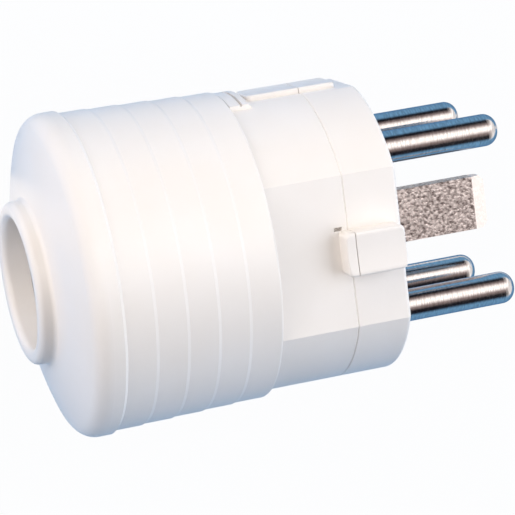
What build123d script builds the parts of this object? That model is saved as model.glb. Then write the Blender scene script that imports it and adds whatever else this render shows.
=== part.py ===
from build123d import *
import os
from math import hypot

# Five-pin three-phase plug: a ribbed hood, a keyed nose in two mouldings, four round pins and an earth blade.
# Millimetres. The origin is the centre of the front face, +X runs out along the pins, +Y points to the top key
# and +Z is square to a wide side flat of the nose.

# Contacts
pin_radius = 3.0
pin_length = 25.0
pin_tip_radius = 2.5
pin_shoulder = 0.2
pin_spacing_y = 30.0
pin_spacing_z = 20.0
blade_width = 10.0
blade_thickness = 3.0
blade_length = 25.0
blade_bevel_length = 2.6
blade_bevel_depth = 0.9
blade_corner = 1.0
flange_thickness = 2.0
flange_overhang = 1.2
post_radius = 4.0
post_overhang = 8.0
post_edge = 0.4
contact_clearance = 0.1

# Terminals in the posts
wire_bore_radius = 2.1
wire_bore_depth = 10.0
terminal_setback = 4.0
terminal_screw_radius = 1.6
terminal_head_radius = 2.6
terminal_head_height = 1.8
terminal_head_gap = 0.8
thread_clearance = 0.05
guard_thickness = 0.4
guard_width = 2.4
guard_length = 7.0
guard_top = 1.6
guard_hook = 2.0

# Nose
nose_setback = 1.15
nose_length = 25.0
side_flat_depth = 3.8
top_flat_depth = 0.8
face_plate_depth = 10.2
face_edge = 0.7
seam_bevel = 0.2
seam_gap = 0.15
plate_wall = 2.6
plate_skin = 3.6
boss_wall = 2.2
post_boss_wall = 1.2

# Keys on the nose
key_width = 8.0
key_rise = 0.2
key_corner = 1.0
key_edge = 0.5
key_root = 1.0
crown_land = 0.3
crown_hollow = 0.15
side_key_length = 11.2
side_key_setback = 0.8
top_key_length = 17.0
top_key_setback = 3.0
relief_length = 1.5
relief_width = 0.7
relief_depth = 1.2

# Catch pad behind the top key
pad_rise = 0.8
pad_length = 4.6
pad_width = 17.0
pad_bevel = 0.9
pad_slot_setback = 2.2
pad_slot_width = 0.5
pad_slot_depth = 1.6

# Carrier
web_thickness = 6.0
carrier_wall = 3.0
spigot_length = 8.0
spigot_clearance = 0.2
lip_height = 1.5
lip_thickness = 1.2
lip_clearance = 0.15

# Hood
terminal_room = 1.1
ring_count = 6
ring_pitch = 5.8
ring_step = 0.19
ring_run = 0.6
rear_band_length = 5.0
rear_band_step = 0.55
rear_edge_radius = 3.5
back_depth = 4.0
back_bulge = 0.6
hood_wall = 2.7
front_edge_radius = 0.4
cable_hole_radius = 12.0
collar_wall = 3.0
collar_height = 3.0
collar_root_radius = 0.8
lip_share = 0.43

# Cord grip
grip_radius = 6.0
grip_wall = 3.5
grip_length = 6.0
grip_shoulder_gap = 0.3
ear_reach = 19.0
ear_thickness = 4.0
leg_width = 7.0
leg_gap = 0.4
tenon_depth = 2.5
tenon_shoulder = 1.0
tenon_clearance = 0.1
clamp_screw_radius = 1.5
clamp_screw_inset = 3.5
clamp_head_radius = 2.8
clamp_head_height = 2.2
hole_clearance = 0.2

# Assembly screws and their inserts
assembly_offset = 17.0
assembly_screw_radius = 1.9
assembly_head_radius = 3.4
assembly_head_height = 2.6
assembly_head_sink = 0.5
insert_wall = 1.1
insert_length = 8.0
insert_clearance = 0.05
slot_width = 0.9
slot_share = 0.5

# Radii and offsets that follow from the contacts outwards
pin_y = pin_spacing_y / 2
pin_z = pin_spacing_z / 2
shank_radius = pin_radius + pin_shoulder
flange_radius = post_radius + flange_overhang
earth_flange_radius = hypot(blade_width, blade_thickness) / 2 + flange_overhang
post_boss_radius = post_radius + post_boss_wall
terminal_seat = post_radius + terminal_head_gap
terminal_reach = hypot(hypot(pin_y, pin_z) + terminal_seat + terminal_head_height, terminal_head_radius)
cavity_radius = terminal_reach + terminal_room
front_band_radius = cavity_radius + hood_wall
spigot_radius = cavity_radius - spigot_clearance
nose_radius = front_band_radius - nose_setback
side_flat = nose_radius - side_flat_depth
top_flat = nose_radius - top_flat_depth
key_reach = nose_radius + key_rise
crown_half_width = key_width / 2 - key_edge - crown_land
crown_radius = (crown_half_width ** 2 + crown_hollow ** 2) / (2 * crown_hollow)
pad_radius = nose_radius + pad_rise
collar_radius = cable_hole_radius + collar_wall
lip_radius = collar_wall * lip_share
ring_steps = [ring_step] * (ring_count - 2) + [rear_band_step]
rear_band_radius = front_band_radius + sum(ring_steps)
insert_radius = assembly_screw_radius + insert_wall
assembly_boss_radius = insert_radius + insert_clearance + boss_wall / 2
leg_height = pin_z - post_boss_radius - leg_gap
clamp_screw_y = ear_reach - clamp_screw_inset

# Stations along X
seam_x = -face_plate_depth
flange_rear_x = seam_x - flange_thickness
web_rear_x = seam_x - web_thickness
barrel_front_x = -nose_length
carrier_rear_x = barrel_front_x - spigot_length
post_rear_x = carrier_rear_x - post_overhang
terminal_x = post_rear_x + terminal_setback
barrel_rear_x = barrel_front_x - len(ring_steps) * ring_pitch - rear_band_length
back_slope = back_depth / (rear_band_radius - collar_radius)
collar_base_x = barrel_rear_x - back_depth
rim_x = collar_base_x - collar_height
head_seat_x = -assembly_head_height - assembly_head_sink
insert_rear_x = carrier_rear_x - insert_length


def inner_back_x(radius):
    """Station where the inside of the hood's sloping back reaches a radius."""
    chord = barrel_rear_x - (rear_band_radius - radius) * back_slope
    return chord + hood_wall * hypot(1.0, back_slope)


hood_shoulder_x = inner_back_x(cavity_radius)
grip_rear_x = inner_back_x(hypot(ear_reach, max(leg_height, ear_thickness))) + grip_shoulder_gap
grip_front_x = grip_rear_x + grip_length
grip_middle_x = (grip_rear_x + grip_front_x) / 2

# Contact places as (node name, y, z)
round_contacts = [
    ("phase_pin_1", pin_y, pin_z),
    ("phase_pin_2", -pin_y, pin_z),
    ("phase_pin_3", -pin_y, -pin_z),
    ("neutral_pin", pin_y, -pin_z),
]
post_places = [(y, z) for _, y, z in round_contacts] + [(0.0, 0.0)]
assembly_places = [(0.0, assembly_offset), (0.0, -assembly_offset)]


# Shared building steps

def axial_cylinder(radius, rear, front, y=0.0, z=0.0):
    """Cylinder along X between two stations."""
    return Pos((rear + front) / 2, y, z) * Rot(0, 90, 0) * Cylinder(radius, front - rear)


def slab(outline, rear, front):
    """Solid of a YZ outline between two stations."""
    return extrude(Plane.YZ.offset(rear) * outline, front - rear)


def turned(profile, rounded, y=0.0, z=0.0):
    """Solid of revolution about X of an (x, radius) face, with its {(x, radius): edge radius} corners rounded."""
    for (x, radius), edge in rounded.items():
        profile = fillet(profile.vertices().sort_by_distance((x, radius, 0))[0], edge)
    return Pos(0, y, z) * revolve(profile, Axis.X)


def nose_outline(inset=0.0):
    """Round nose with two wide side flats and two narrow flats at top and bottom."""
    return Circle(nose_radius - inset) & Rectangle(2 * (top_flat - inset), 2 * (side_flat - inset))


def polygon(points):
    """Face of straight edges through (x, radius) points."""
    return make_face(Polyline(*points, close=True))


def slotted_screw(shank_radius, shank_length, head_radius, head_height):
    """Cheese-head screw along Z, seated at Z 0 with its head above."""
    head = Pos(0, 0, head_height / 2) * Cylinder(head_radius, head_height)
    slot_depth = head_height * slot_share
    slot = Pos(0, 0, head_height) * Box(slot_width, 3 * head_radius, 2 * slot_depth)
    shank = Pos(0, 0, -shank_length / 2) * Cylinder(shank_radius, shank_length)
    return head - slot + shank


def key_rib(angle, flat, length, setback):
    """One key across the seam, standing on a flat and turned about X from the +Z side.

    Its crown is slightly hollow, so that it bears on its two long edges.
    """
    root = flat - key_root
    plan = Pos(-setback - length / 2, 0) * RectangleRounded(length, key_width, key_corner)
    rib = Pos(0, 0, root) * extrude(plan, key_reach - root)
    rib = fillet(rib.faces().sort_by(Axis.Z)[-1].edges(), key_edge)
    rib -= axial_cylinder(crown_radius, -setback - length, -setback, 0.0, key_reach - crown_hollow + crown_radius)
    return Rot(angle, 0, 0) * rib


def key_ribs():
    """The two side keys near the front face, and the top key set further back from it."""
    side_keys = [key_rib(angle, side_flat, side_key_length, side_key_setback) for angle in (0, 180)]
    return side_keys + [key_rib(-90, top_flat, top_key_length, top_key_setback)]


# Hood

def band_points():
    """Bands of the barrel from the front edge back, each a sloping step up from the last, as (x, radius)."""
    radius = front_band_radius
    points = [(barrel_front_x, cavity_radius), (barrel_front_x, radius)]
    for index, step in enumerate(ring_steps):
        x = barrel_front_x - (index + 1) * ring_pitch
        points.append((x, radius))
        radius += step
        points.append((x - ring_run, radius))
    points.append((barrel_rear_x, radius))
    return points


def hood_profile():
    """Half section of the hood: bands, bulging back, collar and the inside."""
    bands = band_points()
    back_middle_x = barrel_rear_x - back_depth / 2 - back_bulge
    back_middle = (back_middle_x, (rear_band_radius + collar_radius) / 2)
    back = ThreePointArc(bands[-1], back_middle, (collar_base_x, collar_radius))
    rest = [
        (collar_base_x, collar_radius),
        (rim_x, collar_radius),
        (rim_x, cable_hole_radius),
        (inner_back_x(cable_hole_radius), cable_hole_radius),
        (hood_shoulder_x, cavity_radius),
        bands[0],
    ]
    return make_face(Polyline(*bands).edges() + back.edges() + Polyline(*rest).edges())


def hood_core_points():
    """Space inside the hood with half of its back wall, as (x, radius)."""
    half_wall = hood_wall / 2
    return [
        (barrel_front_x, 0.0),
        (barrel_front_x, cavity_radius),
        (hood_shoulder_x - half_wall, cavity_radius),
        (inner_back_x(cable_hole_radius) - half_wall, cable_hole_radius),
        (inner_back_x(cable_hole_radius) - half_wall, 0.0),
    ]


def make_hood():
    """Ribbed shell with a sloping back, a rounded cable collar and two screw bosses."""
    rounded = {
        (barrel_front_x, front_band_radius): front_edge_radius,
        (barrel_rear_x, rear_band_radius): rear_edge_radius,
        (collar_base_x, collar_radius): collar_root_radius,
        (rim_x, collar_radius): lip_radius,
        (rim_x, cable_hole_radius): lip_radius,
    }
    shell = turned(hood_profile(), rounded)
    boss_room = turned(polygon(hood_core_points()), {})
    for y, z in assembly_places:
        shell += axial_cylinder(assembly_boss_radius, rim_x, carrier_rear_x, y, z) & boss_room
    for y, z in assembly_places:
        shell -= axial_cylinder(insert_radius + insert_clearance, insert_rear_x, carrier_rear_x, y, z)
    return shell


# Nose

def make_face_plate():
    """Front cap of the nose: skin, rim wall, contact bosses and the front ends of the keys."""
    plate = slab(nose_outline(), seam_x, 0.0)
    plate = fillet(plate.faces().sort_by(Axis.X)[-1].edges(), face_edge)
    plate = chamfer(plate.faces().sort_by(Axis.X)[0].edges(), seam_bevel)
    pocket = slab(nose_outline(plate_wall), seam_x, -plate_skin)
    for y, z, radius in plate_bosses():
        pocket -= axial_cylinder(radius, seam_x, -plate_skin, y, z)
    plate -= pocket
    front_room = slab(Circle(2 * nose_radius), seam_x + seam_gap, 0.0)
    for rib in key_ribs():
        plate += rib & front_room
    for _, y, z in round_contacts:
        plate -= axial_cylinder(shank_radius + contact_clearance, seam_x, 0.0, y, z)
    blade_slot = Rectangle(blade_width + 2 * contact_clearance, blade_thickness + 2 * contact_clearance)
    plate -= slab(blade_slot, seam_x, 0.0)
    for y, z in assembly_places:
        plate -= axial_cylinder(assembly_screw_radius + hole_clearance, seam_x, 0.0, y, z)
        plate -= axial_cylinder(assembly_head_radius + hole_clearance, head_seat_x, 0.0, y, z)
    return plate


def plate_bosses():
    """Bosses inside the face plate as (y, z, radius)."""
    bosses = [(y, z, flange_radius) for _, y, z in round_contacts]
    bosses.append((0.0, 0.0, earth_flange_radius))
    bosses += [(y, z, assembly_boss_radius) for y, z in assembly_places]
    return bosses


def locating_lip():
    """Rib on the carrier's front that drops inside the rim wall of the face plate."""
    outside = plate_wall + lip_clearance
    lip = slab(nose_outline(outside) - nose_outline(outside + lip_thickness), seam_x, seam_x + lip_height)
    for y, z, radius in plate_bosses():
        lip -= axial_cylinder(radius + lip_clearance, seam_x, seam_x + lip_height, y, z)
    return lip


def catch_pad():
    """Raised pad ahead of the hood at the top, with a narrow slot across it."""
    front = barrel_front_x + pad_length
    rear = barrel_front_x + spigot_clearance
    strip = Pos(nose_radius, 0) * Rectangle(2 * (pad_radius - side_flat), pad_width)
    pad = slab(Circle(pad_radius) & strip, rear, front)
    pad = chamfer(pad.faces().sort_by(Axis.X)[-1].edges().sort_by(Axis.Y)[-1], pad_bevel)
    slot_rear = barrel_front_x + pad_slot_setback
    slot = Pos(pad_radius, 0) * Rectangle(2 * pad_slot_depth, pad_width)
    return pad - slab(slot, slot_rear, slot_rear + pad_slot_width)


def cord_grip(side, ear):
    """Half of the cord grip in the YZ plane: half a ring with two ears, below (-1) or above (+1) the axis."""
    reach = grip_radius + grip_wall
    outline = Circle(reach) + Pos(0, side * ear / 2) * Rectangle(2 * ear_reach, ear)
    half = Pos(0, side * reach) * Rectangle(2 * ear_reach, 2 * reach)
    return slab((outline & half) - Circle(grip_radius), grip_rear_x, grip_front_x)


def leg_outline(side, inset=0.0):
    """Section of one cradle leg, level with the cord grip's joint."""
    outline = Rectangle(leg_width - 2 * inset, leg_height - 2 * inset)
    return Pos(side * (ear_reach - leg_width / 2), -leg_height / 2) * outline


def make_carrier():
    """Rear moulding of the nose: keyed cup, spigot for the hood and contact bosses."""
    nose = slab(nose_outline(), barrel_front_x, seam_x)
    nose = chamfer(nose.faces().sort_by(Axis.X)[-1].edges(), seam_bevel)
    body = nose + axial_cylinder(spigot_radius, carrier_rear_x, barrel_front_x)
    hollow = Circle(spigot_radius - carrier_wall)
    hollow &= Rectangle(2 * (top_flat - carrier_wall), 2 * (side_flat - carrier_wall))
    body -= slab(hollow, carrier_rear_x, web_rear_x)
    for y, z in post_places:
        body += axial_cylinder(post_boss_radius, web_rear_x - web_thickness, web_rear_x, y, z)
    for y, z in assembly_places:
        body += axial_cylinder(assembly_boss_radius, carrier_rear_x, web_rear_x, y, z)
    body += locating_lip()
    body += catch_pad()
    rear_room = slab(Circle(2 * nose_radius), barrel_front_x, seam_x)
    for rib in key_ribs():
        body += rib & rear_room
    relief_rear = -side_key_setback - side_key_length - relief_length / 2
    relief = Box(relief_length, relief_width, 2 * relief_depth)
    relief = Pos(relief_rear + relief_length / 2, (key_width + relief_width) / 2, side_flat) * relief
    body -= [relief, mirror(relief, about=Plane.XY)]
    for index, (y, z) in enumerate(post_places):
        is_earth = index == len(round_contacts)
        flange = earth_flange_radius if is_earth else flange_radius
        body -= axial_cylinder(flange + contact_clearance, flange_rear_x, seam_x, y, z)
        body -= axial_cylinder(post_radius + contact_clearance, carrier_rear_x, flange_rear_x, y, z)
    for y, z in assembly_places:
        body -= axial_cylinder(assembly_screw_radius + hole_clearance, carrier_rear_x, seam_x, y, z)
    for side in (1, -1):
        socket = leg_outline(side, tenon_shoulder - tenon_clearance)
        body -= slab(socket, web_rear_x, web_rear_x + tenon_depth + tenon_clearance)
    return body


# Contacts and terminals

def terminal_plane(y, z):
    """Plane at a post's axis under its screw, with its normal pointing away from the plug's axis."""
    outward = (0, y, z) if hypot(y, z) > 0 else (0, 1, 0)
    return Plane(origin=(terminal_x, y, z), x_dir=(1, 0, 0), z_dir=outward)


def drilled_post(contact, y, z):
    """A contact with the wire bore and the screw hole of its terminal cut in."""
    bore = axial_cylinder(wire_bore_radius, post_rear_x, post_rear_x + wire_bore_depth, y, z)
    hole = Pos(0, 0, post_radius) * Cylinder(terminal_screw_radius + thread_clearance, 2 * post_radius)
    return contact - bore - terminal_plane(y, z) * hole


def make_round_contact(y, z):
    """Turned contact: bullet-ended pin, shank inside the face plate, trapped flange and terminal post."""
    points = [
        (post_rear_x, 0.0),
        (post_rear_x, post_radius),
        (flange_rear_x, post_radius),
        (flange_rear_x, flange_radius),
        (seam_x, flange_radius),
        (seam_x, shank_radius),
        (0.0, shank_radius),
        (0.0, pin_radius),
        (pin_length, pin_radius),
        (pin_length, 0.0),
    ]
    rounded = {(pin_length, pin_radius): pin_tip_radius, (post_rear_x, post_radius): post_edge}
    return drilled_post(turned(polygon(points), rounded, y, z), y, z)


def make_earth_blade():
    """Flat earth contact with a bevelled tip, on the same flange and post as the pins."""
    points = [
        (post_rear_x, 0.0),
        (post_rear_x, post_radius),
        (flange_rear_x, post_radius),
        (flange_rear_x, earth_flange_radius),
        (seam_x, earth_flange_radius),
        (seam_x, 0.0),
    ]
    stem = turned(polygon(points), {(post_rear_x, post_radius): post_edge})
    half = blade_thickness / 2
    bevel_x = blade_length - blade_bevel_length
    side_points = [
        (seam_x, -half),
        (bevel_x, -half),
        (blade_length, blade_bevel_depth - half),
        (blade_length, half - blade_bevel_depth),
        (bevel_x, half),
        (seam_x, half),
    ]
    side = make_face(Plane.XZ * Polyline(*side_points, close=True))
    blade = extrude(side, blade_width / 2, both=True)
    tip_corners = blade.faces().sort_by(Axis.X)[-1].edges().filter_by(Axis.Z)
    blade = chamfer(tip_corners, blade_corner)
    return drilled_post(stem + blade, 0.0, 0.0)


def make_terminal_screw(y, z):
    """Screw of one terminal, pressing on the wire guard."""
    shank = terminal_seat - guard_top
    screw = slotted_screw(terminal_screw_radius, shank, terminal_head_radius, terminal_head_height)
    return terminal_plane(y, z) * Pos(0, 0, terminal_seat) * screw


def make_wire_guard(y, z):
    """Bent leaf under the terminal screw, hooked over the rear end of the post."""
    rear = -terminal_setback
    low = guard_top - guard_thickness
    points = [
        (rear - guard_thickness, low),
        (rear + guard_length, low),
        (rear + guard_length, guard_top),
        (rear, guard_top),
        (rear, low + guard_hook),
        (rear - guard_thickness, low + guard_hook),
    ]
    side = make_face(Plane.XZ * Polyline(*points, close=True))
    return terminal_plane(y, z) * extrude(side, guard_width / 2, both=True)


# Cord grip and fasteners

def make_grip_cradle():
    """Lower half of the cord grip on two legs, with tenons that push into the carrier's web."""
    cradle = cord_grip(-1, leg_height)
    for side in (1, -1):
        cradle += slab(leg_outline(side), grip_front_x, web_rear_x)
        cradle += slab(leg_outline(side, tenon_shoulder), web_rear_x, web_rear_x + tenon_depth)
        hole = Cylinder(clamp_screw_radius + thread_clearance, 2 * leg_height)
        cradle -= Pos(grip_middle_x, side * clamp_screw_y, 0) * hole
    return cradle


def make_clamp_bar():
    """Upper half of the cord grip, with clearance holes in its ears."""
    bar = cord_grip(1, ear_thickness)
    for side in (1, -1):
        hole = Cylinder(clamp_screw_radius + hole_clearance, 3 * ear_thickness)
        bar -= Pos(grip_middle_x, side * clamp_screw_y, 0) * hole
    return bar


def make_clamp_screws():
    """Two screws that pull the clamp bar onto the cradle."""
    shank = ear_thickness + leg_height
    screw = slotted_screw(clamp_screw_radius, shank, clamp_head_radius, clamp_head_height)
    return [Pos(grip_middle_x, side * clamp_screw_y, ear_thickness) * screw for side in (1, -1)]


def make_assembly_screws():
    """Two long screws from the front face into the hood."""
    length = head_seat_x - insert_rear_x
    screw = slotted_screw(assembly_screw_radius, length, assembly_head_radius, assembly_head_height)
    return [Pos(head_seat_x, y, z) * Rot(0, 90, 0) * screw for y, z in assembly_places]


def make_thread_inserts():
    """Brass sleeves in the hood's bosses."""
    inserts = []
    for y, z in assembly_places:
        sleeve = axial_cylinder(insert_radius, insert_rear_x, carrier_rear_x, y, z)
        bore = axial_cylinder(assembly_screw_radius + thread_clearance, insert_rear_x, carrier_rear_x, y, z)
        inserts.append(sleeve - bore)
    return inserts


def make_parts():
    """All sub-parts by node name."""
    parts = {
        "hood": make_hood(),
        "carrier": make_carrier(),
        "face_plate": make_face_plate(),
        "earth_blade": make_earth_blade(),
        "grip_cradle": make_grip_cradle(),
        "clamp_bar": make_clamp_bar(),
        "clamp_screws": Compound(make_clamp_screws()),
        "assembly_screws": Compound(make_assembly_screws()),
        "thread_inserts": Compound(make_thread_inserts()),
    }
    for name, y, z in round_contacts:
        parts[name] = make_round_contact(y, z)
    for index, (y, z) in enumerate(post_places):
        parts[f"wire_guard_{index + 1}"] = make_wire_guard(y, z)
    parts["terminal_screws"] = Compound([make_terminal_screw(y, z) for y, z in post_places])
    return parts


os.makedirs("parts", exist_ok=True)
for node, shape in make_parts().items():
    export_step(shape, f"parts/{node}.step")
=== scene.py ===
"""Looks of a five-pin three-phase plug: finishes, fine metal pieces, studio light and camera.

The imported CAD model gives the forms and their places, and this script dresses it. The scene is
in metres in the CAD model's frame: the origin is the centre of the front face, +X runs out along
the pins, +Y points to the top key and +Z is square to a wide side flat of the nose. The plug lies
on its -Z side. The fine pieces are sized in millimetres.
"""
import logging
from dataclasses import dataclass
from enum import Enum

import bpy
import numpy as np
from mathutils import Matrix, Vector


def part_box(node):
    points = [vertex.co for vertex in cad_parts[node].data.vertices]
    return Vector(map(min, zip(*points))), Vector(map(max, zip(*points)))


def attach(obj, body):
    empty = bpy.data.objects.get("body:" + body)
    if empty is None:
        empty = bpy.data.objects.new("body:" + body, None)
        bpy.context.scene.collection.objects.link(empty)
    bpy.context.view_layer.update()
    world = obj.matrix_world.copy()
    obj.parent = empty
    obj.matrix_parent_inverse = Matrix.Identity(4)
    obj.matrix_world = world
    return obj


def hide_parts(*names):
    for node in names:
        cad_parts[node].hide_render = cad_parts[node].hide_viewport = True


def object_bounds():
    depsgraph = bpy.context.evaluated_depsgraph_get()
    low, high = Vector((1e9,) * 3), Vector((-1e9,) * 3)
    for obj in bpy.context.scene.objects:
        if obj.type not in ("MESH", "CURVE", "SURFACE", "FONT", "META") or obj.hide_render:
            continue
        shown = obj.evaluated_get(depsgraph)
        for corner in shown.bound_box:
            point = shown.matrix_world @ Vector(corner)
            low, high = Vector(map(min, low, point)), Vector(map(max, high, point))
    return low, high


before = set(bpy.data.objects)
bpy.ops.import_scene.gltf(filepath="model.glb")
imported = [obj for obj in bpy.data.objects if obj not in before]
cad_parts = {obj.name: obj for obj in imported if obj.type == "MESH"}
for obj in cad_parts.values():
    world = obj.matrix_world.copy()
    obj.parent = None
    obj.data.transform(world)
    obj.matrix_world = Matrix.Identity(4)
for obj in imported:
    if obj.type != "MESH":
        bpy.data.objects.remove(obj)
cad_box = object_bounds()

log = logging.getLogger("plug")

MM = 0.001
FULL_TURN = 2.0 * np.pi
BODY = "root"
PURE_WHITE = "FFFFFF"
SHARP_DEGREES = 35.0
BOTH_SIDES = (1.0, -1.0)
# Place of the colour among the outputs of a Mix node, which has one for each data type.
MIXED_COLOUR = 2

Colour = tuple[float, float, float, float]
Triple = tuple[float, float, float]
Shell = tuple[np.ndarray, list[tuple[int, ...]]]


class Slot(Enum):
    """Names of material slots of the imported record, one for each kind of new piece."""

    STEEL = "plated_steel"
    BRASS = "brass"


# Colours, nodes and objects

def linear(code: str) -> Colour:
    """Turn an sRGB hex value into a linear colour.

    Args:
        code: Six hex digits, red, green and blue.

    Returns:
        Linear red, green and blue with a full alpha.
    """
    srgb = np.array([int(code[i:i + 2], 16) for i in (0, 2, 4)]) / 255.0
    low = srgb / 12.92
    high = ((srgb + 0.055) / 1.055) ** 2.4
    red, green, blue = np.where(srgb <= 0.04045, low, high)
    return float(red), float(green), float(blue), 1.0


def per_mm(size_mm: float) -> float:
    """Scale of a pattern whose features are about this many millimetres across."""
    return 1.0 / (size_mm * MM)


def add(
    tree: bpy.types.NodeTree,
    kind: str,
    inputs: dict[str, object] | None = None,
    **settings: object,
) -> bpy.types.Node:
    """Add a node, set its properties and fill its inputs.

    Args:
        tree: Node tree that gets the node.
        kind: Blender's name of the node type.
        inputs: Values, or output sockets to link, by the input's identifier.
        **settings: Properties of the node.

    Returns:
        The new node.
    """
    node = tree.nodes.new(kind)
    for name, value in settings.items():
        setattr(node, name, value)
    sockets = {socket.identifier: socket for socket in node.inputs}
    for key, value in (inputs or {}).items():
        if isinstance(value, bpy.types.NodeSocket):
            tree.links.new(value, sockets[key])
        else:
            sockets[key].default_value = value
    return node


def new_material(name: str) -> tuple[bpy.types.Material, bpy.types.NodeTree]:
    """Make an empty node material.

    Args:
        name: Name of the material.

    Returns:
        The material and its cleared node tree.
    """
    material = bpy.data.materials.new(name)
    material.use_nodes = True
    material.node_tree.nodes.clear()
    return material, material.node_tree


def new_object(name: str, data: bpy.types.ID) -> bpy.types.Object:
    """Put a mesh, lamp or camera into the scene.

    Args:
        name: Name of the object.
        data: What the object shows.

    Returns:
        The linked object, at the origin.
    """
    thing = bpy.data.objects.new(name, data)
    bpy.context.scene.collection.objects.link(thing)
    return thing


# Finishes

@dataclass(frozen=True)
class MouldedPlastic:
    """Thermoset pressed in a polished tool: opaque, a calm gloss and a faint orange peel."""

    name: str
    light: str
    cream: str
    speck: str
    mottle_mm: float = 14.0
    mottle_detail: float = 3.0
    speck_spacing_mm: float = 9.0
    speck_radius_mm: float = 0.10
    speck_share: float = 0.8
    peel_mm: float = 1.1
    peel_height_mm: float = 0.008
    peel_detail: float = 5.0
    roughness_low: float = 0.24
    roughness_high: float = 0.38
    ior: float = 1.54

    def material(self) -> bpy.types.Material:
        """Build cloudy colour, sparse dust specks, uneven gloss and orange peel.

        Returns:
            The finished material.
        """
        material, tree = new_material(self.name)
        place = add(tree, "ShaderNodeTexCoord").outputs["Object"]
        cloud = add(tree, "ShaderNodeTexNoise", {
            "Vector": place,
            "Scale": per_mm(self.mottle_mm),
            "Detail": self.mottle_detail,
        })
        tone = add(tree, "ShaderNodeMix", {
            "Factor_Float": cloud.outputs["Fac"],
            "A_Color": linear(self.light),
            "B_Color": linear(self.cream),
        }, data_type="RGBA")
        dust = add(tree, "ShaderNodeTexVoronoi", {
            "Vector": place,
            "Scale": per_mm(self.speck_spacing_mm),
        })
        edge = self.speck_radius_mm / self.speck_spacing_mm
        dot = add(tree, "ShaderNodeMapRange", {
            "Value": dust.outputs["Distance"],
            "From Min": edge / 2,
            "From Max": edge,
            "To Min": self.speck_share,
            "To Max": 0.0,
        })
        colour = add(tree, "ShaderNodeMix", {
            "Factor_Float": dot.outputs["Result"],
            "A_Color": tone.outputs[MIXED_COLOUR],
            "B_Color": linear(self.speck),
        }, data_type="RGBA")
        peel = add(tree, "ShaderNodeTexNoise", {
            "Vector": place,
            "Scale": per_mm(self.peel_mm),
            "Detail": self.peel_detail,
        })
        gloss = add(tree, "ShaderNodeMapRange", {
            "Value": cloud.outputs["Fac"],
            "To Min": self.roughness_low,
            "To Max": self.roughness_high,
        })
        relief = add(tree, "ShaderNodeBump", {
            "Strength": 1.0,
            "Distance": self.peel_height_mm * MM,
            "Height": peel.outputs["Fac"],
        })
        skin = add(tree, "ShaderNodeBsdfPrincipled", {
            "Base Color": colour.outputs[MIXED_COLOUR],
            "Roughness": gloss.outputs["Result"],
            "IOR": self.ior,
            "Normal": relief.outputs["Normal"],
        })
        add(tree, "ShaderNodeOutputMaterial", {"Surface": skin.outputs["BSDF"]})
        return material


@dataclass(frozen=True)
class PlatedMetal:
    """Metal with a plated or bare skin: a grain of fine pits and stains between two tones.

    The streak factor stretches both patterns along X, or squeezes them into rings where it is below
    1. Where a tip length is given, the skin beyond it loses its stain and grain: it is painted
    bright, a painted highlight on the tip's bevel, and it is smooth.
    """

    name: str
    bright: str
    stain: str
    edge_tint: str
    grain_mm: float
    grain_height_mm: float
    stain_mm: float
    stain_share: float
    roughness_low: float
    roughness_high: float
    grain_detail: float = 3.0
    pit_from: float = 0.3
    pit_to: float = 0.7
    stain_detail: float = 5.0
    stain_from: float = 0.35
    stain_to: float = 0.75
    streak: float = 1.0
    # Length along X beyond which stain and grain fade out, so that the tip is painted bright as a
    # highlight.
    painted_highlight_from_mm: float | None = None
    painted_highlight_run_mm: float = 0.2

    def fading(
        self, tree: bpy.types.NodeTree, place: bpy.types.NodeSocket, full: float
    ) -> bpy.types.NodeSocket | float:
        """Let a value fall to nothing along X on the tip, which is painted bright as a highlight.

        Args:
            tree: Node tree of the finish.
            place: Socket with the place on the piece.
            full: Value on the rest of the piece.

        Returns:
            Socket with the fading value, or the value itself where no tip is painted bright.
        """
        if self.painted_highlight_from_mm is None:
            return full
        start = self.painted_highlight_from_mm * MM
        along = add(tree, "ShaderNodeSeparateXYZ", {"Vector": place})
        return add(tree, "ShaderNodeMapRange", {
            "Value": along.outputs["X"],
            "From Min": start,
            "From Max": start + self.painted_highlight_run_mm * MM,
            "To Min": full,
            "To Max": 0.0,
        }).outputs["Result"]

    def material(self) -> bpy.types.Material:
        """Build stained colour, uneven polish and pits.

        Returns:
            The finished material.
        """
        material, tree = new_material(self.name)
        place = add(tree, "ShaderNodeTexCoord").outputs["Object"]
        drawn = add(tree, "ShaderNodeMapping", {
            "Vector": place,
            "Scale": (1.0 / self.streak, 1.0, 1.0),
        })
        pits = add(tree, "ShaderNodeTexNoise", {
            "Vector": drawn.outputs["Vector"],
            "Scale": per_mm(self.grain_mm),
            "Detail": self.grain_detail,
        })
        film = add(tree, "ShaderNodeTexNoise", {
            "Vector": drawn.outputs["Vector"],
            "Scale": per_mm(self.stain_mm),
            "Detail": self.stain_detail,
        })
        share = add(tree, "ShaderNodeMapRange", {
            "Value": film.outputs["Fac"],
            "From Min": self.stain_from,
            "From Max": self.stain_to,
            "To Max": self.fading(tree, place, self.stain_share),
        })
        colour = add(tree, "ShaderNodeMix", {
            "Factor_Float": share.outputs["Result"],
            "A_Color": linear(self.bright),
            "B_Color": linear(self.stain),
        }, data_type="RGBA")
        polish = add(tree, "ShaderNodeMapRange", {
            "Value": pits.outputs["Fac"],
            "From Min": self.pit_from,
            "From Max": self.pit_to,
            "To Min": self.roughness_low,
            "To Max": self.roughness_high,
        })
        relief = add(tree, "ShaderNodeBump", {
            "Strength": self.fading(tree, place, 1.0),
            "Distance": self.grain_height_mm * MM,
            "Height": pits.outputs["Fac"],
        })
        skin = add(tree, "ShaderNodeBsdfPrincipled", {
            "Base Color": colour.outputs[MIXED_COLOUR],
            "Metallic": 1.0,
            "Roughness": polish.outputs["Result"],
            "Specular Tint": linear(self.edge_tint),
            "Normal": relief.outputs["Normal"],
        })
        add(tree, "ShaderNodeOutputMaterial", {"Surface": skin.outputs["BSDF"]})
        return material


# Pressed urea: the eye sees a soft warm white, a little cloudy, with blurred highlights.
WHITE_UREA = MouldedPlastic("urea_moulded_gloss", light="F8F4F0", cream="F3ECE4", speck="8A7A6C")

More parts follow.
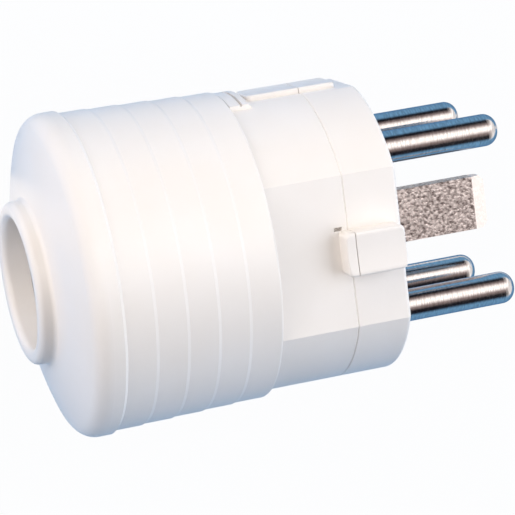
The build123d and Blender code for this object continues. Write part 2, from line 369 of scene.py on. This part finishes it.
# Turned brass with bright nickel: sharp dark and light bands along the pin, broken by the rings
# that the tool left. The rings are drawn coarser than real ones, so that they show.
TURNED_NICKEL = PlatedMetal(
    "nickel_on_turned_brass", bright="E6E1DF", stain="A89C96", edge_tint="C4CCDA",
    grain_mm=1.0, grain_height_mm=0.020, stain_mm=1.4, stain_share=0.6,
    roughness_low=0.09, roughness_high=0.20, streak=0.16,
)

# Cast brass with dull nickel: a coarse sparkling grain, brown in its hollows, and a tip painted
# bright, a painted highlight on its bevel.
GRAINY_NICKEL = PlatedMetal(
    "nickel_on_cast_brass", bright="FFF4F0", stain="3C221D", edge_tint="D9D4D0",
    grain_mm=0.5, grain_height_mm=0.10, stain_mm=0.65, stain_share=0.85,
    roughness_low=0.20, roughness_high=0.44, stain_from=0.38, stain_to=0.68, painted_highlight_from_mm=22.3,
)

# Zinc-plated steel: a cool grey with a soft sheen.
ZINC_STEEL = PlatedMetal(
    "zinc_plated_steel", bright="B9BDC2", stain="8E8C86", edge_tint="C8D0DA",
    grain_mm=0.3, grain_height_mm=0.004, stain_mm=2.0, stain_share=0.6,
    roughness_low=0.25, roughness_high=0.45,
)

# Bare brass: yellow with brown clouds, dulled by handling.
BARE_BRASS = PlatedMetal(
    "brass_bare", bright="C9A55A", stain="8C6A34", edge_tint="E0C890",
    grain_mm=0.4, grain_height_mm=0.004, stain_mm=2.5, stain_share=0.7,
    roughness_low=0.25, roughness_high=0.45,
)


# Surfaces

def ring_grid(points: np.ndarray, capped: bool) -> Shell:
    """Close a grid of rings into a shell.

    Args:
        points: Array of rings by points by 3, each ring closed on itself.
        capped: True to close the first and last ring by a face, False to join the last ring to
            the first.

    Returns:
        Vertices and faces. The signed volume tells which way the faces point, and they are
        turned outwards.
    """
    rings, count, _ = points.shape
    ids = np.arange(rings * count).reshape(rings, count)
    rows = ids if capped else np.vstack([ids, ids[:1]])
    low, high = rows[:-1], rows[1:]
    quads = np.stack([low, np.roll(low, -1, 1), np.roll(high, -1, 1), high], axis=-1)
    quads = quads.reshape(-1, 4)
    corners = points.reshape(-1, 3)
    triangles = np.vstack([quads[:, [0, 1, 2]], quads[:, [0, 2, 3]]])
    first, second, third = (corners[triangles[:, i]] - corners.mean(0) for i in range(3))
    inside_out = np.einsum("ij,ij->", first, np.cross(second, third)) < 0
    faces = [tuple(face) for face in quads.tolist()]
    if capped:
        faces.append(tuple(ids[0, ::-1].tolist()))
        faces.append(tuple(ids[-1].tolist()))
    if inside_out:
        faces = [face[::-1] for face in faces]
    return corners, faces


def piece_from(name: str, shells: list[Shell], finish: bpy.types.Material) -> bpy.types.Object:
    """Join shells in millimetres into one object at the origin.

    Args:
        name: Name of the piece.
        shells: Vertices and faces of each closed shell.
        finish: Material of the piece.

    Returns:
        The linked object, its sharp edges kept by angle.
    """
    starts = np.cumsum([0] + [len(corners) for corners, _ in shells])
    corners = np.vstack([corners for corners, _ in shells]) * MM
    faces = [
        tuple(i + start for i in face)
        for (_, group), start in zip(shells, starts)
        for face in group
    ]
    mesh = bpy.data.meshes.new(name)
    mesh.from_pydata(corners.tolist(), [], faces)
    mesh.shade_smooth()
    mesh.set_sharp_from_angle(angle=np.radians(SHARP_DEGREES))
    mesh.materials.append(finish)
    return new_object(name, mesh)


def placed(shell: Shell, seat: Triple, up: Triple, across: Triple) -> Shell:
    """Stand a shell on a seat.

    Args:
        shell: Vertices and faces about a local Z axis.
        seat: Point that the local origin goes to.
        up: Unit direction of the local Z axis.
        across: Unit direction of the local X axis.

    Returns:
        The moved shell.
    """
    corners, faces = shell
    axes = np.array([across, np.cross(up, across), up])
    return corners @ axes + np.array(seat), faces


@dataclass(frozen=True)
class SlottedScrew:
    """Cheese-head screw about Z, seated at Z 0, sizes in millimetres."""

    shank_radius: float
    shank_length: float
    thread_length: float
    pitch: float
    head_radius: float
    head_height: float
    slot_width: float = 0.9
    slot_share: float = 0.5
    edge: float = 0.25
    flank_depth_share: float = 0.55
    rim_angle: float = 0.04
    rows_per_pitch: int = 8
    columns: int = 36
    chords: int = 14

    def slot_floor(self) -> float:
        """Height of the slot's floor above the seat."""
        return self.head_height * (1.0 - self.slot_share)

    def shank(self) -> Shell:
        """Thread the shank and bevel its tip.

        The radius falls by a triangle wave of z over the pitch plus the turn. The wave grows
        over one pitch where the thread starts, and ends in a bevel one pitch long.

        Returns:
            The closed shank, which starts inside the head.
        """
        rows = int(self.thread_length / self.pitch * self.rows_per_pitch)
        plain_length = self.shank_length - self.thread_length
        threaded = np.linspace(-plain_length, -self.shank_length, rows)
        z = np.concatenate([[self.slot_floor() / 2], threaded])
        turn = np.linspace(0.0, FULL_TURN, self.columns, endpoint=False)
        wave = np.abs(2.0 * ((z[:, None] / self.pitch + turn / FULL_TURN) % 1.0) - 1.0)
        start = np.clip(-(z + plain_length) / self.pitch, 0.0, 1.0)[:, None]
        tip = np.clip((z + self.shank_length) / self.pitch, 0.0, 1.0)[:, None]
        cut = self.pitch * self.flank_depth_share * (wave * start * tip + (1.0 - tip))
        radius = self.shank_radius - cut
        height = np.repeat(z[:, None], turn.size, 1)
        points = np.stack([radius * np.cos(turn), radius * np.sin(turn), height], -1)
        return ring_grid(points, capped=True)

    def head(self) -> Shell:
        """Carry a section across the head, as wide as the circle and as high as the slot leaves it.

        Returns:
            The closed head, with the slot open at both ends and a bevelled upper edge.
        """
        half_slot = self.slot_width / 2
        slot_angle = np.arccos(half_slot / self.head_radius)
        outer = self.head_radius * np.cos(np.linspace(self.rim_angle, slot_angle, self.chords))
        x = np.concatenate([-outer, [-half_slot, half_slot], outer[::-1]])
        side = np.full(self.chords, self.head_height)
        height = np.concatenate([side, [self.slot_floor(), self.slot_floor()], side])
        half = np.sqrt(self.head_radius ** 2 - x ** 2)
        bevel = np.minimum(self.edge, half / 2)
        inner = half - bevel
        base = np.zeros_like(x)
        y = np.stack([-half, -half, -inner, inner, half, half], -1)
        z = np.stack([base, height - bevel, height, height, height - bevel, base], -1)
        points = np.stack([np.repeat(x[:, None], y.shape[1], 1), y, z], -1)
        return ring_grid(points, capped=True)

    def shells(self, seat: Triple, up: Triple, across: Triple) -> list[Shell]:
        """Both shells of the screw on its seat, with the slot square to the across direction."""
        return [placed(shell, seat, up, across) for shell in (self.head(), self.shank())]


@dataclass(frozen=True)
class KnurledSleeve:
    """Brass sleeve about Z from Z 0 upwards, with a diamond knurl, sizes in millimetres."""

    radius: float
    bore: float
    length: float
    ridges: int = 18
    knurl_depth: float = 0.14
    rows: int = 40
    columns: int = 144

    def shell(self) -> Shell:
        """Turn a closed profile whose outer radius falls where two crossing sine waves meet.

        One wave runs with the turn plus the height over the radius, the other with the turn less
        it, and the knurl fades out at both ends.

        Returns:
            The closed sleeve.
        """
        z = np.linspace(0.0, self.length, self.rows)
        turn = np.linspace(0.0, FULL_TURN, self.columns, endpoint=False)
        climb = z[:, None] / self.radius
        right = np.abs(np.sin(self.ridges / 2 * (turn + climb)))
        left = np.abs(np.sin(self.ridges / 2 * (turn - climb)))
        fade = np.clip(np.minimum(z, self.length - z) / self.knurl_depth, 0.0, 1.0)[:, None]
        outside = self.radius - self.knurl_depth * (1.0 - fade * np.minimum(right, left))
        inside = np.full((2, self.columns), self.bore)
        radius = np.vstack([outside, inside])
        height = np.concatenate([z, [self.length, 0.0]])[:, None] * np.ones(self.columns)
        points = np.stack([radius * np.cos(turn), radius * np.sin(turn), height], -1)
        return ring_grid(points, capped=False)


# Sub-assemblies

def dress(nodes: tuple[str, ...], finish: bpy.types.Material) -> None:
    """Give CAD nodes a finish in their first material slot.

    Args:
        nodes: Names of the CAD nodes.
        finish: Material that they get.
    """
    for name in nodes:
        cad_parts[name].material_slots[0].material = finish
        log.info("dressed %s in %s", name, finish.name)


def settle(piece: bpy.types.Object, slot: Slot, *nodes: str) -> None:
    """Let a new piece ride on the plug in place of CAD nodes.

    Args:
        piece: The new piece.
        slot: Not used.
        *nodes: CAD nodes that it stands for.
    """
    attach(piece, BODY)
    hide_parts(*nodes)
    log.info("placed %s for %s", piece.name, ", ".join(nodes))


@dataclass
class Mouldings:
    """White mouldings: hood, the two halves of the nose and the cord grip."""

    nodes: tuple[str, ...] = ("hood", "carrier", "face_plate", "grip_cradle", "clamp_bar")

    def dress(self) -> None:
        """Give every moulding the white urea finish."""
        dress(self.nodes, WHITE_UREA.material())


@dataclass
class Contacts:
    """Round pins, earth blade and the leaves in their terminals."""

    pins: tuple[str, ...] = ("phase_pin_1", "phase_pin_2", "phase_pin_3", "neutral_pin")
    blade: str = "earth_blade"
    guards: tuple[str, ...] = tuple(f"wire_guard_{number}" for number in range(1, 6))

    def dress(self, brass: bpy.types.Material) -> None:
        """Plate the contacts and leave their leaves bare.

        Args:
            brass: Finish of the leaves.
        """
        dress(self.pins, TURNED_NICKEL.material())
        dress((self.blade,), GRAINY_NICKEL.material())
        dress(self.guards, brass)


@dataclass
class Fasteners:
    """Threaded screws and knurled inserts in place of the plain CAD ones, in millimetres."""

    assembly_offset: float = 17.0
    assembly_seat_x: float = -3.1
    insert_front_x: float = -33.0
    clamp_y: float = 15.5
    clamp_seat_z: float = 4.0
    terminal_x: float = -37.0
    terminal_seat: float = 4.8
    post_places: tuple[tuple[float, float], ...] = (
        (15.0, 10.0), (-15.0, 10.0), (-15.0, -10.0), (15.0, -10.0), (0.0, 0.0),
    )
    assembly: SlottedScrew = SlottedScrew(
        shank_radius=1.9, shank_length=37.9, thread_length=12.0, pitch=0.7,
        head_radius=3.4, head_height=2.6,
    )
    clamp: SlottedScrew = SlottedScrew(
        shank_radius=1.5, shank_length=8.4, thread_length=6.0, pitch=0.5,
        head_radius=2.8, head_height=2.2,
    )
    terminal: SlottedScrew = SlottedScrew(
        shank_radius=1.6, shank_length=3.2, thread_length=2.6, pitch=0.5,
        head_radius=2.6, head_height=1.8,
    )
    insert: KnurledSleeve = KnurledSleeve(radius=3.0, bore=1.95, length=8.0)

    def build_assembly_screws(self, steel: bpy.types.Material) -> None:
        """Seat the two long screws in the face plate.

        Args:
            steel: Finish of the screws.
        """
        shells: list[Shell] = []
        for side in BOTH_SIDES:
            seat = (self.assembly_seat_x, 0.0, side * self.assembly_offset)
            shells += self.assembly.shells(seat, (1.0, 0.0, 0.0), (0.0, 0.0, -1.0))
        piece = piece_from("assembly_screw_pair", shells, steel)
        settle(piece, Slot.STEEL, "assembly_screws")

    def build_clamp_screws(self, steel: bpy.types.Material) -> None:
        """Seat the two screws of the cord grip in the middle of the clamp bar's length.

        Args:
            steel: Finish of the screws.
        """
        low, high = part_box("clamp_bar")
        middle_x = (low.x + high.x) / 2 / MM
        shells: list[Shell] = []
        for side in BOTH_SIDES:
            seat = (middle_x, side * self.clamp_y, self.clamp_seat_z)
            shells += self.clamp.shells(seat, (0.0, 0.0, 1.0), (1.0, 0.0, 0.0))
        piece = piece_from("clamp_screw_pair", shells, steel)
        settle(piece, Slot.STEEL, "clamp_screws")

    def build_terminal_screws(self, steel: bpy.types.Material) -> None:
        """Seat one screw in each terminal, facing away from the plug's axis, the earth's to +Y.

        Args:
            steel: Finish of the screws.
        """
        shells: list[Shell] = []
        for y, z in self.post_places:
            reach = float(np.hypot(y, z))
            up = (0.0, y / reach, z / reach) if reach > 0.0 else (0.0, 1.0, 0.0)
            seat = (self.terminal_x, y + up[1] * self.terminal_seat, z + up[2] * self.terminal_seat)
            shells += self.terminal.shells(seat, up, (1.0, 0.0, 0.0))
        piece = piece_from("terminal_screw_set", shells, steel)
        settle(piece, Slot.STEEL, "terminal_screws")

    def build_inserts(self, brass: bpy.types.Material) -> None:
        """Press the two knurled inserts into the hood's bosses.

        Args:
            brass: Finish of the inserts.
        """
        shells: list[Shell] = []
        for side in BOTH_SIDES:
            seat = (self.insert_front_x, 0.0, side * self.assembly_offset)
            shells.append(placed(self.insert.shell(), seat, (-1.0, 0.0, 0.0), (0.0, 1.0, 0.0)))
        piece = piece_from("knurled_insert_pair", shells, brass)
        settle(piece, Slot.BRASS, "thread_inserts")

    def build(self, steel: bpy.types.Material, brass: bpy.types.Material) -> None:
        """Build all screws and the inserts.

        Args:
            steel: Finish of the screws.
            brass: Finish of the inserts.
        """
        self.build_assembly_screws(steel)
        self.build_clamp_screws(steel)
        self.build_terminal_screws(steel)
        self.build_inserts(brass)


# Studio

@dataclass(frozen=True)
class SoftLamp:
    """Square soft lamp that faces the plug and stays out of reflections, sizes in metres."""

    name: str
    direction: Triple
    distance: float
    size: float
    power: float
    tint: str

    def build(self, target: Triple) -> None:
        """Hang the lamp.

        Args:
            target: Point that the lamp faces.
        """
        lamp = bpy.data.lights.new(self.name, "AREA")
        lamp.size = self.size
        lamp.energy = self.power
        lamp.color = linear(self.tint)[:3]
        away = Vector(self.direction).normalized()
        holder = new_object(self.name, lamp)
        holder.location = Vector(target) + away * self.distance
        holder.visible_glossy = False
        holder.rotation_mode = "QUATERNION"
        holder.rotation_quaternion = (-away).to_track_quat("-Z", "Y")


class Tone(Enum):
    """Tones of the tent's cloth."""

    BLUE = "5C85A6"
    NIGHT = "0C0C14"
    GREY = "847775"
    WHITE = "FFFBF8"


@dataclass(frozen=True)
class ToneTent:
    """Tent of graded tones along the plug's axis that only reflections show, sizes in metres.

    Each tone stands at an angle in degrees about +X, from +Z towards +Y. The tent has a gap
    beneath the blade, where the floor shows.
    """

    name: str = "tone_tent"
    layer: str = "tone"
    radius: float = 0.45
    lowest: float = -0.0296
    rear: float = -0.40
    middle: float = 0.22
    front: float = 0.70
    front_tone: Tone = Tone.WHITE
    level: float = 1.7
    tones: tuple[tuple[float, Tone], ...] = (
        (-180.4, Tone.BLUE), (-76.0, Tone.BLUE), (-56.0, Tone.NIGHT), (-36.0, Tone.NIGHT),
        (-12.0, Tone.GREY), (8.0, Tone.WHITE), (26.0, Tone.WHITE), (46.0, Tone.GREY),
        (64.0, Tone.NIGHT), (77.0, Tone.NIGHT), (104.0, Tone.BLUE), (178.0, Tone.BLUE),
    )

    def cloth(self) -> bpy.types.Material:
        """Make the glowing cloth that takes its tones from the mesh.

        Returns:
            The finished material.
        """
        material, tree = new_material(self.name)
        tone = add(tree, "ShaderNodeAttribute", attribute_name=self.layer)
        glow = add(tree, "ShaderNodeEmission", {
            "Color": tone.outputs["Color"],
            "Strength": self.level,
        })
        add(tree, "ShaderNodeOutputMaterial", {"Surface": glow.outputs["Emission"]})
        return material

    def build(self) -> None:
        """Carry the ring of tones along X.

        The ring is an arc of the radius, held flat where it would pass the floor. Its tones stay
        the same from the rear to the middle and turn to the front tone from there on.
        """
        angles = np.radians([angle for angle, _ in self.tones])
        height = np.maximum(self.radius * np.cos(angles), self.lowest)
        ring = np.stack([self.radius * np.sin(angles), height], -1)
        stations = np.array([self.rear, self.middle, self.front])
        count = len(ring)
        x = np.repeat(stations[:, None], count, 1)[..., None]
        corners = np.concatenate([x, np.repeat(ring[None], len(stations), 0)], -1).reshape(-1, 3)
        ids = np.arange(len(corners)).reshape(len(stations), count)
        faces = np.stack([ids[:-1, :-1], ids[:-1, 1:], ids[1:, 1:], ids[1:, :-1]], -1)
        mesh = bpy.data.meshes.new(self.name)
        mesh.from_pydata(corners.tolist(), [], faces.reshape(-1, 4).tolist())
        around = np.array([linear(tone.value) for _, tone in self.tones])
        pale = np.tile(linear(self.front_tone.value), (count, 1))
        layer = mesh.color_attributes.new(self.layer, "FLOAT_COLOR", "POINT")
        layer.data.foreach_set("color", np.vstack([around, around, pale]).ravel())
        mesh.materials.append(self.cloth())
        tent = new_object(self.name, mesh)
        tent.visible_camera = False
        tent.visible_diffuse = False
        tent.visible_shadow = False


@dataclass
class Studio:
    """Pale floor, soft lamps, a low sky, a tent for the metal to reflect, and the camera."""

    target: Triple = (-0.02, 0.0, 0.0)
    lamps: tuple[SoftLamp, ...] = (
        SoftLamp(
            "right_lamp", direction=(0.77, 0.01, 0.64),
            distance=0.8, size=0.8, power=7.2, tint="F0F4FC",
        ),
        SoftLamp(
            "left_lamp", direction=(-0.77, 0.34, 0.55),
            distance=0.9, size=1.2, power=7.3, tint="FEF7F1",
        ),
        SoftLamp(
            "rear_lamp", direction=(-0.92, 0.25, 0.30),
            distance=0.9, size=0.8, power=1.6, tint="F6F4FF",
        ),
        SoftLamp(
            "top_lamp", direction=(-0.05, 0.98, 0.20),
            distance=0.9, size=0.8, power=3.4, tint="FCF2E4",
        ),
    )
    tent: ToneTent = ToneTent()
    floor_half: float = 4.0
    floor_gap: float = 0.0001
    floor_colour: str = "BCD0EE"
    floor_glow: float = 0.965
    sky_below: str = "626A78"
    sky_above: str = "3A3938"
    lens: float = 209.7
    sensor: float = 36.0
    clip_start: float = 0.01
    eye: Triple = (-0.1713, 0.1100, 0.5230)
    right: Triple = (0.9467, -0.1205, 0.2988)
    up: Triple = (0.1742, 0.9716, -0.1600)
    back: Triple = (-0.2710, 0.2035, 0.9408)

    def shown(self, tree: bpy.types.NodeTree) -> bpy.types.NodeSocket:
        """Tell rays that show the background from rays that only light the set.

        Args:
            tree: Node tree of the floor or the sky.

        Returns:
            Socket that is 1 for camera, glossy and transmission rays and 0 for others.
        """
        path = add(tree, "ShaderNodeLightPath")
        seen = add(tree, "ShaderNodeMath", {
            "Value": path.outputs["Is Camera Ray"],
            "Value_001": path.outputs["Is Glossy Ray"],
        }, operation="MAXIMUM")
        return add(tree, "ShaderNodeMath", {
            "Value": seen.outputs["Value"],
            "Value_001": path.outputs["Is Transmission Ray"],
        }, operation="MAXIMUM").outputs["Value"]

    def paper(self) -> bpy.types.Material:
        """Make the floor's paper: white to the camera and in reflections, pale to other rays.

        Returns:
            The finished material, whose matt part keeps the plug's shadow.
        """
        material, tree = new_material("floor_paper_matt")
        matt = add(tree, "ShaderNodeBsdfDiffuse", {"Color": linear(self.floor_colour)})
        glow = add(tree, "ShaderNodeEmission", {"Color": linear(PURE_WHITE), "Strength": 1.0})
        share = add(tree, "ShaderNodeMath", {
            "Value": self.shown(tree),
            "Value_001": self.floor_glow,
        }, operation="MULTIPLY")
        surface = add(tree, "ShaderNodeMixShader", {
            "Fac": share.outputs["Value"],
            "Shader": matt.outputs["BSDF"],
            "Shader_001": glow.outputs["Emission"],
        })
        add(tree, "ShaderNodeOutputMaterial", {"Surface": surface.outputs["Shader"]})
        return material

    def build_floor(self) -> None:
        """Lay the pale floor just under the plug."""
        z = cad_box[0].z - self.floor_gap
        half = self.floor_half
        corners = [(-half, -half, z), (half, -half, z), (half, half, z), (-half, half, z)]
        mesh = bpy.data.meshes.new("floor")
        mesh.from_pydata(corners, [], [(0, 1, 2, 3)])
        mesh.materials.append(self.paper())
        new_object("floor", mesh)

    def build_sky(self) -> None:
        """Fill the shadows with a low light, blue from -Y and warm from +Y, and show as white."""
        world = bpy.data.worlds.new("studio_sky")
        bpy.context.scene.world = world
        world.use_nodes = True
        tree = world.node_tree
        tree.nodes.clear()
        direction = add(tree, "ShaderNodeTexCoord").outputs["Generated"]
        parts = add(tree, "ShaderNodeSeparateXYZ", {"Vector": direction})
        height = add(tree, "ShaderNodeMapRange", {"Value": parts.outputs["Y"], "From Min": -1.0})
        tint = add(tree, "ShaderNodeMix", {
            "Factor_Float": height.outputs["Result"],
            "A_Color": linear(self.sky_below),
            "B_Color": linear(self.sky_above),
        }, data_type="RGBA")
        light = add(tree, "ShaderNodeBackground", {
            "Color": tint.outputs[MIXED_COLOUR],
            "Strength": 1.0,
        })
        white = add(tree, "ShaderNodeBackground", {"Color": linear(PURE_WHITE), "Strength": 1.0})
        sky = add(tree, "ShaderNodeMixShader", {
            "Fac": self.shown(tree),
            "Shader": light.outputs["Background"],
            "Shader_001": white.outputs["Background"],
        })
        add(tree, "ShaderNodeOutputWorld", {"Surface": sky.outputs["Shader"]})

    def build_camera(self) -> None:
        """Set the long lens where the photograph was taken from."""
        camera = bpy.data.cameras.new("camera")
        camera.lens = self.lens
        camera.sensor_width = self.sensor
        camera.clip_start = self.clip_start
        holder = new_object("camera", camera)
        turn = Matrix((self.right, self.up, self.back)).transposed().to_4x4()
        holder.matrix_world = Matrix.Translation(Vector(self.eye)) @ turn
        bpy.context.scene.camera = holder

    def build(self) -> None:
        """Set up the floor, the light, the tent and the camera."""
        self.build_floor()
        for lamp in self.lamps:
            lamp.build(self.target)
        self.tent.build()
        self.build_sky()
        self.build_camera()
        bpy.context.scene.view_settings.view_transform = "Standard"


def main() -> None:
    """Dress the CAD nodes, build the fine pieces and set up the studio."""
    logging.basicConfig(level=logging.INFO, format="%(name)s: %(message)s")
    brass = BARE_BRASS.material()
    Mouldings().dress()
    Contacts().dress(brass)
    Fasteners().build(ZINC_STEEL.material(), brass)
    Studio().build()


if __name__ == "__main__":
    main()
